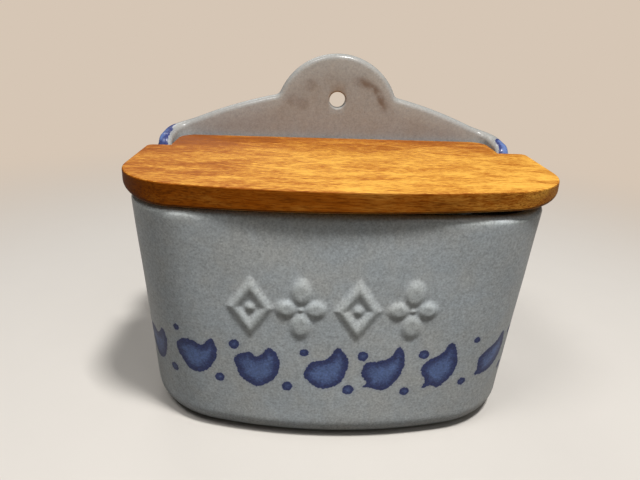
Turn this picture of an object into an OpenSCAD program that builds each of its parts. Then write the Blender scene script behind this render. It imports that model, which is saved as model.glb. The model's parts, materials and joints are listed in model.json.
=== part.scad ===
// Wall salt box: a slip-cast stoneware tub with a hanging plate, closed by a hinged wooden lid.
// Millimetres, +Z up, +X to the viewer's right, +Y towards the wall.
// The origin lies under the middle of the box, on the surface that it stands on.

/* [Tub] */
// Outer width of the tub at its rim
box_w = 159.4; // [140:0.2:200]
// Outer depth of the tub at its rim, front to wall face
box_d = 97.6; // [88:0.5:120]
// Height of the rim that the lid rests on
rim_h = 97.8; // [80:0.5:120]
// Thickness of the stoneware wall
wall_t = 6; // [5:0.5:7]
// Thickness of the floor
floor_t = 7; // [5:0.5:10]
// How far each side leans in from the rim to the base
side_draft = 2; // [0:0.1:6]
// How far the front leans in from the rim to the base
front_draft = 3.8; // [0:0.1:8]
// Radius of the front corners at the rim, seen from above
rim_corner_r = 27.5; // [20:0.5:34]
// Radius of the front corners at the base, seen from above
base_corner_r = 39; // [30:0.5:42]
// Radius of the bowed front at the rim, seen from above
rim_bow_r = 670; // [400:10:900]
// Radius of the bowed front at the base, seen from above
base_bow_r = 185; // [160:5:400]
// Radius of the rear corners, seen from above
rear_corner_r = 12; // [10:0.5:14]
// Rounding of the bottom edge outside
foot_r = 9; // [5:0.5:9.5]
// Rounding where the floor meets the wall inside
floor_r = 8; // [4:0.5:10]
// Rounding along the glazed top edges
edge_r = 2.4; // [1.5:0.1:2.4]

/* [Hanging plate] */
// Height of the top of the dome
dome_top = 146; // [138:0.5:152]
// Radius of the dome
dome_r = 29.5; // [28.5:0.5:31]
// Height where the dome meets the sloping shoulders
neck_z = 126.8; // [125:0.2:128]
// Half the width of the sloping part of the plate
slope_half = 66; // [62:0.5:67]
// Height of the plate at the outer end of its slope
slope_z = 114.6; // [113:0.2:118]
// Height of the plate where it turns forward into the ears
corner_z = 112.4; // [111.5:0.1:113]
// Radius of the slope's long curve
slope_bow_r = 200; // [150:10:400]
// How far the dome and its hole sit to the right of the middle, as the cast one's do
dome_shift = 1.2; // [-3:0.1:3]
// Diameter of the hanging hole
hang_hole_d = 7.6; // [5:0.1:10]
// Height of the middle of the hanging hole
hang_hole_z = 125; // [118:0.5:130]

/* [Hinge] */
// Diameter of the hinge pins
pin_d = 3; // [2:0.1:3.4]
// Radial running clearance of each pin in its ear
pin_clear = 0.05; // [0.03:0.01:0.1]
// How far each pin goes into the wood
pin_grip = 14; // [8:0.5:24]
// Diameter of the pin's head
head_d = 5; // [4.6:0.1:6]
// Height of the pin's head
head_h = 1.1; // [0.8:0.1:1.5]
// Gap between the head and the ear
head_gap = 0.2; // [0.1:0.05:0.4]
// Distance from the wall face to the hinge axis
hinge_back = 20.6; // [20:0.1:22]
// Height of the hinge axis above the rim
hinge_rise = 5.3; // [4.8:0.1:5.6]
// Radius of the ear round the hinge axis
ear_r = 7; // [6:0.1:8]
// Radius of the hollow where the ear meets the rim
ear_root_r = 4; // [3:0.5:4.5]

/* [Lid] */
// Overhang of the lid at each side of the tub
lid_over_side = 3.9; // [2.5:0.1:8]
// How far the broad part of the board sits to the right of the tub
lid_shift = 1; // [-1:0.1:1]
// Overhang of the lid at the front of the tub
lid_over_front = 2.9; // [2:0.1:8]
// Gap between the rim and the lid at the left
lid_gap = 0.2; // [0.1:0.05:0.4]
// Thickness of the board at its left end
lid_t_left = 9; // [8.5:0.1:10]
// Thickness of the board at its right end
lid_t_right = 7; // [6.8:0.1:10]
// How much higher the top of the board lies at its right end
lid_lift = 0.8; // [0:0.1:1]
// Radius of the bowed front edge of the lid
lid_bow_r = 320; // [260:10:700]
// Radius of the lid's front corners
lid_corner_r = 29; // [20:0.5:32]
// Radius of the shoulders' rear corners
shoulder_r = 3; // [1:0.5:5]
// Distance from the hinge axis forward to the shoulders' rear edge
shoulder_gap = 12; // [11.5:0.1:14]
// Clearance of the tongue between the ears, at each side
tongue_clear = 1; // [0.5:0.1:2]
// Clearance of the tongue in front of the hanging plate
tongue_back_clear = 2; // [1.8:0.1:3]
// Radius of the tongue's rear corners
tongue_r = 8; // [6.5:0.5:12]

/* [Hidden] */
$fn = 48;
tiny = 0.01;

// Places that follow from the sizes
lid_d = box_d + lid_over_front;
wall_y = lid_d/2;
tub_front_y = wall_y - box_d;
lid_front_y = -lid_d/2;
hinge_y = wall_y - hinge_back;
hinge_z = rim_h + hinge_rise;
plate_y = wall_y - wall_t;

// Half the outer width of the tub at height z, its front leaning with it
function half_w(z) = box_w/2 - side_draft*(1 - z/rim_h);
function front_y(z) = tub_front_y + front_draft*(1 - z/rim_h);
// The ends of the bow and of the corner radius, blended by height up to the rim
function low(z) = max(0, 1 - z/rim_h);
function bow_r(z) = 1/((1 - low(z))/rim_bow_r + low(z)/base_bow_r);
function corner_r(z) = rim_corner_r + (base_corner_r - rim_corner_r)*low(z);

// Front outline, drawn in by e from the tub's outside: the bow meets the corner arc without a kink
function bow_end(z) = asin((half_w(z) - corner_r(z))/(bow_r(z) - corner_r(z)));
function corner_y(z) = front_y(z) + bow_r(z)
    - sqrt(pow(bow_r(z) - corner_r(z), 2) - pow(half_w(z) - corner_r(z), 2));
function bow_pt(t, z, e) = let (a = t*bow_end(z), r = bow_r(z))
    [(r - e)*sin(a), front_y(z) + r - (r - e)*cos(a)];
function corner_pt(t, z, e) = let (a0 = bow_end(z), a = a0 + t*(90 - a0), r = corner_r(z) - e)
    [half_w(z) - corner_r(z) + r*sin(a), corner_y(z) - r*cos(a)];
// Rear corner, kept round by at least rear_min however far it is drawn in
rear_min = 1.5;
function rear_pt(t, z, e) = let (r = max(rear_corner_r - e, rear_min))
    [half_w(z) - e - r + r*cos(90*t), wall_y - e - r + r*sin(90*t)];

// Columns of the wall: [kind, value], from the middle of the front round to the middle of the back
BOW = 0;
CORNER = 1;
SIDE = 2;
REAR = 3;
BACK = 4;
bow_steps = 8;
corner_steps = 7;
rear_steps = 5;
dome_steps = 9;
slope_steps = 4;
arc_steps = 5;
root_steps = 3;
ear_front_y = hinge_y - ear_r;
side_columns = concat(
    [for (i = [0:root_steps]) ear_front_y - ear_root_r + ear_root_r*sin(84*i/root_steps)],
    [for (i = [0:arc_steps]) hinge_y - ear_r*cos(6 + 84*i/arc_steps)]);
neck_x = sqrt(pow(dome_r, 2) - pow(neck_z - dome_top + dome_r, 2));
neck_a = asin(neck_x/dome_r);
half_columns = concat(
    [for (i = [0:bow_steps]) [BOW, i/bow_steps]],
    [for (i = [1:corner_steps]) [CORNER, i/corner_steps]],
    [for (y = side_columns) [SIDE, y]],
    [for (i = [0:rear_steps]) [REAR, i/rear_steps]],
    [for (i = [1:slope_steps]) [BACK, slope_half + (neck_x - slope_half)*i/slope_steps - tiny]],
    [for (i = [1:dome_steps]) [BACK, dome_r*sin(neck_a*(1 - i/dome_steps))]]);
function column_pt(c, z, e) =
    c[0] == BOW ? bow_pt(c[1], z, e) :
    c[0] == CORNER ? corner_pt(c[1], z, e) :
    c[0] == SIDE ? [half_w(z) - e, c[1]] :
    c[0] == REAR ? rear_pt(c[1], z, e) : [c[1], wall_y - e];
// The dome is moved along the back as it is; the slopes beside it take up the difference
function shift_at(c) =
    c[0] == BACK ? dome_shift*min(1, (slope_half - c[1])/(slope_half - neck_x)) : 0;

// Top edge of the wall: the rim, the ear round the hinge, the corner, the slope and the dome
function ear_top(y) =
    y < ear_front_y ? rim_h + ear_root_r
        - sqrt(max(0, pow(ear_root_r, 2) - pow(y - ear_front_y + ear_root_r, 2))) :
    hinge_z + sqrt(max(0, pow(ear_r, 2) - pow(y - hinge_y, 2)));
// The slope is a shallow arc between its two ends
slope_run = slope_half - neck_x;
slope_drop = neck_z - slope_z;
function slope_top(x) = let (s = (slope_half - x)/slope_run)
    slope_z + slope_drop*s + s*(1 - s)*(pow(slope_run, 2) + pow(slope_drop, 2))/(2*slope_bow_r);
function dome_line(x) = dome_top - dome_r + sqrt(max(0, pow(dome_r, 2) - pow(x, 2)));
ear_z = hinge_z + ear_r;
function corner_line(t) = ear_z + (corner_z - ear_z)*t + (slope_z - corner_z)*pow(t, 3);
function column_top(c) =
    c[0] == SIDE ? ear_top(c[1]) :
    c[0] == REAR ? corner_line(0.25 + 0.75*c[1]) :
    c[0] == BACK ? (c[1] > neck_x - 2*tiny ? slope_top(c[1]) : dome_line(c[1])) : rim_h;

// One upright section of the wall, [height, inset], from under the foot over the top to the floor
foot_steps = 4;
edge_steps = 3;
floor_steps = 4;
function section(top) = concat(
    [for (i = [0:foot_steps]) let (a = 90*(1 - i/foot_steps)) [foot_r*(1 - sin(a)), foot_r*(1 - cos(a))]],
    [for (i = [0:edge_steps]) let (a = 90*i/edge_steps) [top - edge_r*(1 - sin(a)), edge_r*(1 - cos(a))]],
    [for (i = [0:edge_steps]) let (a = 90*(1 - i/edge_steps))
        [top - edge_r*(1 - sin(a)), wall_t - edge_r*(1 - cos(a))]],
    [for (i = [0:floor_steps]) let (a = 90*i/floor_steps)
        [floor_t + floor_r*(1 - sin(a)), wall_t + floor_r*(1 - cos(a))]]);
function column(c, side) = [for (s = section(column_top(c))) let (p = column_pt(c, s[0], s[1]))
    [side*p[0] + shift_at(c), p[1], s[0]]];

// The wall, as one skin over its columns: up the right side, then back down the left
module tub_shell() {
    last = len(half_columns) - 1;
    ring = concat(
        [for (c = half_columns) column(c, 1)],
        [for (i = [last - 1:-1:1]) column(half_columns[i], -1)]);
    n = len(ring);
    m = len(ring[0]);
    polyhedron(
        points = [for (col = ring) for (p = col) p],
        faces = concat(
            [[for (i = [0:n - 1]) i*m]],
            [[for (i = [n - 1:-1:0]) i*m + m - 1]],
            [for (i = [0:n - 1]) for (j = [0:m - 2]) let (a = i*m, b = ((i + 1) % n)*m) [a + j, a + j + 1, b + j]],
            [for (i = [0:n - 1]) for (j = [0:m - 2]) let (a = i*m, b = ((i + 1) % n)*m)
                [a + j + 1, b + j + 1, b + j]]),
        convexity = 8);
}

// A straight hole along X through both ears, at the hinge axis
module hinge_bore(r, length) {
    translate([0, hinge_y, hinge_z])
        rotate([0, 90, 0])
            cylinder(r = r, h = length, center = true);
}

module stoneware_box() {
    color("slategray")
        difference() {
            tub_shell();
            hinge_bore(pin_d/2 + pin_clear, box_w + 4*wall_t);
            translate([dome_shift, plate_y - wall_t, hang_hole_z])
                rotate([-90, 0, 0])
                    cylinder(d = hang_hole_d, h = 3*wall_t);
        }
}

// Half widths of the lid: at its shoulders, and at the tongue between the ears
lid_half = box_w/2 + lid_over_side;
tongue_half = half_w(rim_h) - wall_t - tongue_clear;
shoulder_y = hinge_y - shoulder_gap;
tongue_y = plate_y - tongue_back_clear;
lid_corner_x = lid_half - lid_corner_r;
lid_corner_y = lid_front_y + lid_bow_r - sqrt(pow(lid_bow_r - lid_corner_r, 2) - pow(lid_corner_x, 2));

// Right half of the board's front part from above: its bowed front, its front corner and its shoulder
lid_turn = asin(lid_corner_x/(lid_bow_r - lid_corner_r));
function lid_bow_pt(a) = [lid_bow_r*sin(a), lid_front_y + lid_bow_r - lid_bow_r*cos(a)];
function lid_corner_pt(a) = [lid_corner_x + lid_corner_r*sin(a), lid_corner_y - lid_corner_r*cos(a)];
function shoulder_pt(a) =
    [lid_half - shoulder_r + shoulder_r*cos(a), shoulder_y - shoulder_r + shoulder_r*sin(a)];
lid_side = concat(
    [for (i = [0:20]) lid_bow_pt(lid_turn*i/20)],
    [for (i = [1:20]) lid_corner_pt(lid_turn + (90 - lid_turn)*i/20)],
    [for (i = [0:6]) shoulder_pt(90*i/6)]);

// Outline of the board from above: the front part and the tongue
module lid_outline() {
    translate([lid_shift, 0])
        polygon(concat(lid_side, [for (i = [len(lid_side) - 1:-1:1]) [-lid_side[i][0], lid_side[i][1]]]));
    for (side = [-1, 1])
        translate([side*(tongue_half - tongue_r), tongue_y - tongue_r])
            circle(r = tongue_r);
    translate([-tongue_half, shoulder_y - shoulder_r])
        square([2*tongue_half, tongue_y - tongue_r - shoulder_y + shoulder_r]);
    translate([-tongue_half + tongue_r, shoulder_y - shoulder_r])
        square([2*(tongue_half - tongue_r), tongue_y - shoulder_y + shoulder_r]);
}

// The board is a little thinner at the right, where it stands clear of the rim
lid_under_left = rim_h + lid_gap;
lid_top_left = lid_under_left + lid_t_left;
lid_top_right = lid_top_left + lid_lift;
lid_under_right = lid_top_right - lid_t_right;
module lid_slab() {
    translate([lid_shift, wall_y, 0])
        rotate([90, 0, 0])
            linear_extrude(2*lid_d)
                polygon([[-lid_half, lid_under_left], [lid_half, lid_under_right],
                    [lid_half, lid_top_right], [-lid_half, lid_top_left]]);
}

module wooden_lid() {
    color("peru")
        difference() {
            intersection() {
                lid_slab();
                translate([0, 0, rim_h])
                    linear_extrude(2*lid_t_left)
                        lid_outline();
            }
            for (side = [-1, 1])
                translate([side*tongue_half, hinge_y, hinge_z])
                    rotate([0, 90, 0])
                        cylinder(d = pin_d, h = 2*pin_grip, center = true);
        }
}

// A round-head pin through one ear into the end of the tongue, side -1 at the left
head_edge = 0.3;
module hinge_pin(side) {
    head_x = half_w(hinge_z) + head_gap;
    color("silver")
        translate([side*head_x, hinge_y, hinge_z])
            rotate([0, side*90, 0])
                rotate_extrude()
                    polygon([[0, tongue_half - pin_grip - head_x], [pin_d/2, tongue_half - pin_grip - head_x],
                        [pin_d/2, 0], [head_d/2, 0], [head_d/2, head_h/2], [head_d/2 - head_edge, head_h - head_edge],
                        [head_d/4, head_h], [0, head_h]]);
}
module hinge_pin_left() {
    hinge_pin(-1);
}
module hinge_pin_right() {
    hinge_pin(1);
}

stoneware_box();
wooden_lid();
hinge_pin_left();
hinge_pin_right();
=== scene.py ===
"""Wall salt box: a stoneware tub with a raised frieze and a sponged cobalt border, and a wooden lid."""

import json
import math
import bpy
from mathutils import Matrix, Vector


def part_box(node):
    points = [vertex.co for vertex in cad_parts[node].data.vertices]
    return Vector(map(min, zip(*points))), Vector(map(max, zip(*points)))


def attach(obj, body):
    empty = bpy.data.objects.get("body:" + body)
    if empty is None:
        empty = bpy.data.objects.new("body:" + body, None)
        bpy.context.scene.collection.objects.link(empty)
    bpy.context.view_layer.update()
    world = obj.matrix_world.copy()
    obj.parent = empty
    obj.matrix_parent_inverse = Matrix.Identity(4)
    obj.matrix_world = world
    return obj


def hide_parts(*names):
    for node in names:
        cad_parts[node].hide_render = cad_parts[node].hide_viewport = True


bl_info = {
    "name": "Wall Salt Box",
    "version": (1, 0, 0),
    "blender": (4, 5, 0),
    "location": "3D Viewport > Sidebar > Salt Box",
    "description": "Stoneware salt box with a hinged wooden lid, dressed round its packed CAD model",
    "category": "Add Mesh",
}

import bpy
import numpy as np
from bpy.props import FloatProperty, FloatVectorProperty, PointerProperty
from mathutils import Matrix, Vector

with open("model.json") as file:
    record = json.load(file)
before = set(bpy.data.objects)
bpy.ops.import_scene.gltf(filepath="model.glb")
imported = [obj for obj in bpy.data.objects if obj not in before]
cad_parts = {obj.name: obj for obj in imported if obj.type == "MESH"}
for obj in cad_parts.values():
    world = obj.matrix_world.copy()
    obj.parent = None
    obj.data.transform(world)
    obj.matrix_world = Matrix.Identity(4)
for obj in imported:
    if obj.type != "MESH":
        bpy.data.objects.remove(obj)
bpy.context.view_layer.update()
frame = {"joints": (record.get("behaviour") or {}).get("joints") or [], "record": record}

MM = 0.001
TUB_LO, TUB_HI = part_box("stoneware_box")
LID_LO, LID_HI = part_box("wooden_lid")
PIN_LO, PIN_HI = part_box("hinge_pin_right")
HINGE = Vector(frame["joints"][0]["pos_m"])
HOLE = next(m for m in frame["record"]["mounts"] if m["name"] == "hanging_hole")


def length(name, description, default):
    """A size, its default in millimetres."""
    return FloatProperty(
        name=name, description=description, default=default * MM, min=0.0, precision=5, unit="LENGTH"
    )


def linear(red, green, blue):
    """A colour as a screen gives it, 0 to 255, as the linear values that shaders take."""
    parts = [c / 255 for c in (red, green, blue)]
    return tuple(c / 12.92 if c <= 0.04045 else ((c + 0.055) / 1.055) ** 2.4 for c in parts)


def colour(name, description, red, green, blue):
    """A colour property with its default as a screen gives it, 0 to 255."""
    tint = linear(red, green, blue)
    return FloatVectorProperty(
        name=name, description=description, default=tint, subtype="COLOR", min=0.0, max=1.0
    )


class SaltBoxTub(bpy.types.PropertyGroup):
    """Sizes of the stoneware tub and its hanging plate."""

    rim: length("Rim", "Height of the rim that the lid rests on", 97.8)
    half_width: length("Half width", "Half the outer width at the rim", 79.7)
    wall: length("Wall", "Thickness of the stoneware", 6)
    floor: length("Floor", "Thickness of the floor", 7)
    side_draft: length("Side draft", "How far each side leans in down to the base", 2)
    front_draft: length("Front draft", "How far the front leans in down to the base", 3.8)
    rim_corner: length("Rim corner", "Radius of the front corners at the rim", 27.5)
    base_corner: length("Base corner", "Radius of the front corners at the base", 39)
    rim_bow: length("Rim bow", "Radius of the bowed front at the rim", 670)
    base_bow: length("Base bow", "Radius of the bowed front at the base", 185)
    rear_corner: length("Rear corner", "Radius of the rear corners", 12)
    foot: length("Foot", "Rounding of the bottom edge", 9)
    cove: length("Cove", "Rounding between the floor and the wall inside", 8)
    edge: length("Edge", "Rounding of the glazed top edges", 2.6)
    ear: length("Ear", "Radius of the ears round the hinge", 7)
    ear_root: length("Ear root", "Hollow where each ear meets the rim", 4)
    dome: length("Dome", "Radius of the dome", 29.5)
    neck: length("Neck", "Height where the dome meets the slopes", 126.8)
    neck_soft: length("Neck softening", "Run of the soft curve at each side of the neck", 1.9)
    slope_end: length("Slope end", "Half the width of the sloping part", 66)
    slope_low: length("Slope low", "Height of the plate at the end of its slope", 114.6)
    turn_low: length("Turn", "Height of the plate where it turns into the ears", 112.4)
    slope_bow: length("Slope bow", "Radius of the slope's long curve", 200)
    hole_soft: length("Hole softening", "Rounding of the hanging hole's edges", 0.9)


class SaltBoxFrieze(bpy.types.PropertyGroup):
    """Sizes of the raised frieze and the sponged border."""

    rise: length("Rise", "How far the frieze stands out", 0.85)
    height: length("Height", "Height of the middle of the frieze", 60.4)
    stroke: length("Stroke", "Half the breadth of a raised line", 1.6)
    soft: length("Softness", "Run over which the glaze rounds a raised edge", 1.5)


class SaltBoxLid(bpy.types.PropertyGroup):
    """Sizes of the board and of its pins."""

    right_thick: length("Right thickness", "Thickness of the board at its right end", 7)
    rise: length("Rise", "How much higher the board's top is at its right end", 0.8)
    bow: length("Front bow", "Radius of the bowed front edge", 320)
    corner: length("Front corner", "Radius of the front corners", 29)
    shoulder: length("Shoulder", "Radius of the shoulders' rear corners", 3)
    shoulder_gap: length("Shoulder gap", "Distance from the hinge axis to the shoulders", 12)
    tongue: length("Tongue", "Half the width of the tongue between the ears", 72.7)
    tongue_corner: length("Tongue corner", "Radius of the tongue's rear corners", 8)
    top_edge: length("Top edge", "Rounding of the upper edge", 0.7)
    low_edge: length("Lower edge", "Rounding of the lower edge along the front and the tongue", 1.1)
    low_left: length("Lower left end", "Rounding of the lower edge at the left end", 4.6)
    low_right: length("Lower right end", "Rounding of the lower edge at the right end", 3.4)
    pin: length("Pin", "Radius of the hinge pins", 1.5)
    pin_head: length("Pin head", "Radius of the pins' heads", 2.5)


class SaltBoxColours(bpy.types.PropertyGroup):
    """Colours of the glaze, the cobalt, the wood and the steel."""

    glaze_cool: colour("Cool glaze", "Bluish grey of the glaze", 196, 203, 206)
    glaze_warm: colour("Warm glaze", "Warmer grey where the glaze is thin", 203, 204, 200)
    glaze_pale: colour("Pale glaze", "Pale grey over raised lines and edges", 212, 217, 213)
    # Painted warm light: the brown of the plate above the rim stands in for light bounced onto it from the
    # lid
    plate_bounce_brown: colour("Rust", "Brown of iron in the glaze", 134, 127, 118)
    iron: colour("Iron", "Brown smear of iron beside the hanging hole", 104, 80, 60)
    clay: colour("Clay", "Bare clay under the foot", 172, 156, 132)
    cobalt_deep: colour("Deep cobalt", "Edge of a sponged mark", 14, 34, 106)
    cobalt_wash: colour("Washed cobalt", "Middle of a sponged mark", 98, 124, 182)
    wood_light: colour("Light wood", "Lightest grain of the varnished board", 238, 180, 78)
    wood_mid: colour("Wood", "Body colour of the board", 176, 100, 26)
    wood_dark: colour("Dark wood", "Dark grain", 138, 72, 16)
    # Partly painted shade: the edge colour is staining soaked into the edge grain, darkened as well where the
    # edge faces away from the light above
    wood_edge_stain_and_shade: colour("Board's edge", "Stained edge of the board", 158, 78, 0)
    steel: colour("Steel", "The pins", 176, 176, 172)
    floor: colour("Floor", "The plain floor", 214, 208, 200)
    backdrop: colour("Backdrop", "The plain backdrop", 214, 198, 181)


def maths_method(operation):
    """A method that adds the Math node of one operation."""
    return lambda self, *others: self.finish.maths(operation, self, *others)


class Value:
    """A number that varies over a surface: an output socket, its maths written as expressions."""

    def __init__(self, finish, socket):
        self.finish = finish
        self.socket = socket

    __add__ = __radd__ = maths_method("ADD")
    __sub__ = maths_method("SUBTRACT")
    __mul__ = __rmul__ = maths_method("MULTIPLY")
    __pow__ = maths_method("POWER")
    most = maths_method("MAXIMUM")
    size = maths_method("ABSOLUTE")

    def __rsub__(self, other):
        return self.finish.maths("SUBTRACT", other, self)

    def smooth(self, start, end):
        """0 before start and 1 after end, with a smooth run between them. start may be the larger."""
        low, high, flip = (start, end, False) if start < end else (end, start, True)
        run = self.finish.node(
            "ShaderNodeMapRange",
            {"interpolation_type": "SMOOTHSTEP"},
            {"Value": self, "From Min": low, "From Max": high},
        )
        value = Value(self.finish, run.outputs[0])
        return 1 - value if flip else value


class Finish:
    """A material under construction, with its own coordinates in millimetres."""

    def __init__(self, name):
        self.material = bpy.data.materials.new(name)
        self.material.use_nodes = True
        self.tree = self.material.node_tree
        self.tree.nodes.clear()
        place = self.node("ShaderNodeTexCoord").outputs["Object"]
        scaled = self.node("ShaderNodeVectorMath", {"operation": "SCALE"}, {0: place, "Scale": 1 / MM})
        self.place = scaled.outputs[0]
        split = self.node("ShaderNodeSeparateXYZ", {}, {0: self.place})
        self.x, self.y, self.z = (Value(self, split.outputs[i]) for i in range(3))

    def node(self, kind, settings=None, sockets=None):
        """Adds a node: its settings first, and then the values or links of its sockets."""
        made = self.tree.nodes.new(kind)
        for name, value in (settings or {}).items():
            setattr(made, name, value)
        for name, value in (sockets or {}).items():
            value = value.socket if isinstance(value, Value) else value
            if isinstance(value, bpy.types.NodeSocket):
                self.tree.links.new(value, made.inputs[name])
            else:
                made.inputs[name].default_value = value
        return made

    def maths(self, operation, *terms):
        """The result of a Math node."""
        made = self.node("ShaderNodeMath", {"operation": operation}, dict(enumerate(terms)))
        return Value(self, made.outputs[0])

    def stretched(self, scale, shift=(0, 0, 0)):
        """The place in millimetres, stretched and moved for a pattern."""
        sockets = {0: self.place, "Location": shift, "Scale": scale}
        return self.node("ShaderNodeMapping", {}, sockets).outputs[0]

    def noise(self, scale, detail=2.0, roughness=0.5, warp=0.0, place=None):
        """A cloudy number from 0 to 1."""
        sockets = {"Scale": scale, "Detail": detail, "Roughness": roughness, "Distortion": warp}
        made = self.node("ShaderNodeTexNoise", {}, {"Vector": place or self.place, **sockets})
        return Value(self, made.outputs[0])

    def cells(self, scale):
        """Distance from the middle of the nearest of many scattered spots."""
        made = self.node("ShaderNodeTexVoronoi", {}, {"Vector": self.place, "Scale": scale})
        return Value(self, made.outputs["Distance"])

    def painted(self, name):
        """A number stored on the mesh's vertices."""
        made = self.node("ShaderNodeAttribute", {"attribute_name": name, "attribute_type": "GEOMETRY"})
        return Value(self, made.outputs["Fac"])

    def mix(self, share, first, second, blend="MIX"):
        """The colour that lies share of the way from first to second."""
        made = self.node(
            "ShaderNodeMix",
            {"data_type": "RGBA", "blend_type": blend, "clamp_result": False},
            {0: share, 6: opaque(first), 7: opaque(second)},
        )
        return made.outputs[2]

    def shade(self, base, rough, height=None, bump=0.0, **constants):
        """Closes the material: what varies is base, rough and height, and the rest are set on the shader."""
        sockets = {"Base Color": base, "Roughness": rough}
        if height is not None:
            made = self.node("ShaderNodeBump", {}, {"Height": height, "Strength": 1.0, "Distance": bump})
            sockets["Normal"] = made.outputs[0]
        sockets.update({name.replace("_", " "): value for name, value in constants.items()})
        shader = self.node("ShaderNodeBsdfPrincipled", {}, sockets)
        self.node("ShaderNodeOutputMaterial", {}, {"Surface": shader.outputs[0]})
        return self.material


def opaque(tint):
    """A colour with its alpha, where it isn't a link."""
    return tint if isinstance(tint, bpy.types.NodeSocket) else (*tint, 1.0)


def darker(tint, share):
    """A colour with only a share of its light."""
    return tuple(c * share for c in tint)


# Heights in millimetres between which the glaze turns browner and darker, from the tub to its hanging plate:
# painted warm light, standing in for light bounced onto the plate from the lid and a wall behind
PLATE_FOOT = (98, 112)
# How far outside a sponged mark its distance is still stored on the skin, in millimetres
COBALT_REACH = 3.0


def glaze_finish(colours):
    """Grey salt glaze with fine speckle, thinner over edges, and the cobalt that was sponged under it."""
    f = Finish("grey_glaze")
    drift = f.noise(0.022, 3, 0.55)
    cloud = f.noise(0.09, 4, 0.6, 0.4)
    warmth = (drift - 0.5) * 1.0 + (cloud - 0.5) * 0.9 + 0.46
    plate = f.z.smooth(*PLATE_FOOT)
    grey = f.mix(warmth.smooth(0.1, 0.9), colours.glaze_cool, colours.glaze_warm)
    # The plate above the rim is painted browner and darker, as painted warm light bounced onto it from the
    # lid
    grey = f.mix(plate * (0.62 + 0.2 * cloud), grey, colours.plate_bounce_brown)
    thin = f.painted("thin")
    grey = f.mix(thin * (0.25 + 0.4 * cloud) * (1 - plate * 0.7), grey, colours.glaze_pale)

    # Speckle, specks of iron and the smear on the dome
    grain = f.noise(0.6, 3, 0.65)
    fleck = f.noise(1.25, 2, 0.6)
    tone = 1.02 + ((grain - 0.5) * 0.6 + (fleck - 0.5) * 1.0) * (1 - plate * 0.5)
    grey = f.mix(1.0, grey, grey_of(f, tone), "MULTIPLY")
    specks = f.cells(0.21).smooth(0.075, 0.03) * f.noise(0.13, 1).smooth(0.48, 0.6)
    grey = f.mix(specks * 0.4, grey, colours.iron)
    grey = f.mix(smear_mask(f) * 0.7, grey, colours.iron)

    # Cobalt: dark at a mark's ragged edge, washed out in its middle, with a faint bleed round it
    ragged = (f.noise(0.95, 2, 0.6) - 0.5) * 1.5 + (f.noise(0.3, 2) - 0.5) * 0.9
    inside = f.painted("cobalt") - COBALT_REACH + ragged
    mark = inside.smooth(-0.12, 0.2)
    bleed = inside.smooth(-1.6, 0.2) * 0.12
    sponge = f.noise(1.1, 3, 0.7)
    patch = f.noise(0.2, 2)
    washed = inside.smooth(0.3, 5.0) * (0.3 + 1.1 * patch) + (sponge - 0.5) * 1.5
    blue = f.mix(washed.smooth(0.0, 1.0), colours.cobalt_deep, colours.cobalt_wash)
    base = f.mix(bleed, grey, colours.cobalt_wash)
    blue = f.mix(1.0, blue, grey_of(f, 1 + (tone - 1) * 1.3), "MULTIPLY")
    base = f.mix(mark * (0.8 + 0.2 * sponge), base, blue)

    bare = f.z.smooth(1.3, 0.4)
    clay = f.mix(f.noise(1.1, 4, 0.7), darker(colours.clay, 0.82), colours.clay)
    base = f.mix(bare, base, clay)
    rough = 0.34 + (cloud - 0.5) * 0.16 + (grain - 0.5) * 0.1 - thin * 0.08 + bare * 0.45
    height = f.noise(0.42, 3, 0.5) * 0.6 + f.noise(1.6, 2, 0.5) * 0.16 + bare * grain * 0.4
    return f.shade(
        base, rough, height, 0.09 * MM,
        IOR=1.5, Specular_IOR_Level=0.25, Coat_Weight=0.08, Coat_Roughness=0.2,
    )


def grey_of(finish, value):
    """A number as a grey colour."""
    made = finish.node("ShaderNodeCombineColor", {}, {0: value, 1: value, 2: value})
    return made.outputs[0]


# The smear on the dome in X and Z, in millimetres: middle and radius of its arc, and middles of its smudges
SMEAR_MIDDLE = (8.7, 119.8)
SMEAR_RADIUS = 14.6
SMUDGES = ((-11.6, 131.7), (-19.9, 124.5), (-15.1, 122.8))
# Places along Y in millimetres between which the smear ends, so that the plate's back stays clean
SMEAR_DEPTH = (48, 46)


def smear_mask(f):
    """Brown iron in the glaze of the dome: an arc at the right of the hole and faint smudges at its left."""
    across, up = f.x - SMEAR_MIDDLE[0], f.z - SMEAR_MIDDLE[1]
    reach = (across * across + up * up) ** 0.5
    band = (reach - SMEAR_RADIUS + (f.noise(0.2, 2) - 0.5) * 2.0).size().smooth(3.2, 0.2)
    arc = band * (up * 0.9 + across * 0.45).smooth(5.0, 10.5) * across.smooth(-2.5, 4.5)
    smudges = 0
    for x, z in SMUDGES:
        dx, dz = f.x - x, f.z - z
        smudges = (dx * dx + dz * dz).smooth(14, 1) * 0.4 + smudges
    cover = f.noise(0.4, 3).smooth(0.1, 0.6)
    return (arc + smudges) * cover * f.y.smooth(*SMEAR_DEPTH)


# Growth rings of the board in Y and Z, in millimetres: their middle, and the distance between them
RING_MIDDLE = (-6.0, 52.0)
RING_PITCH = 4.6


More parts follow.
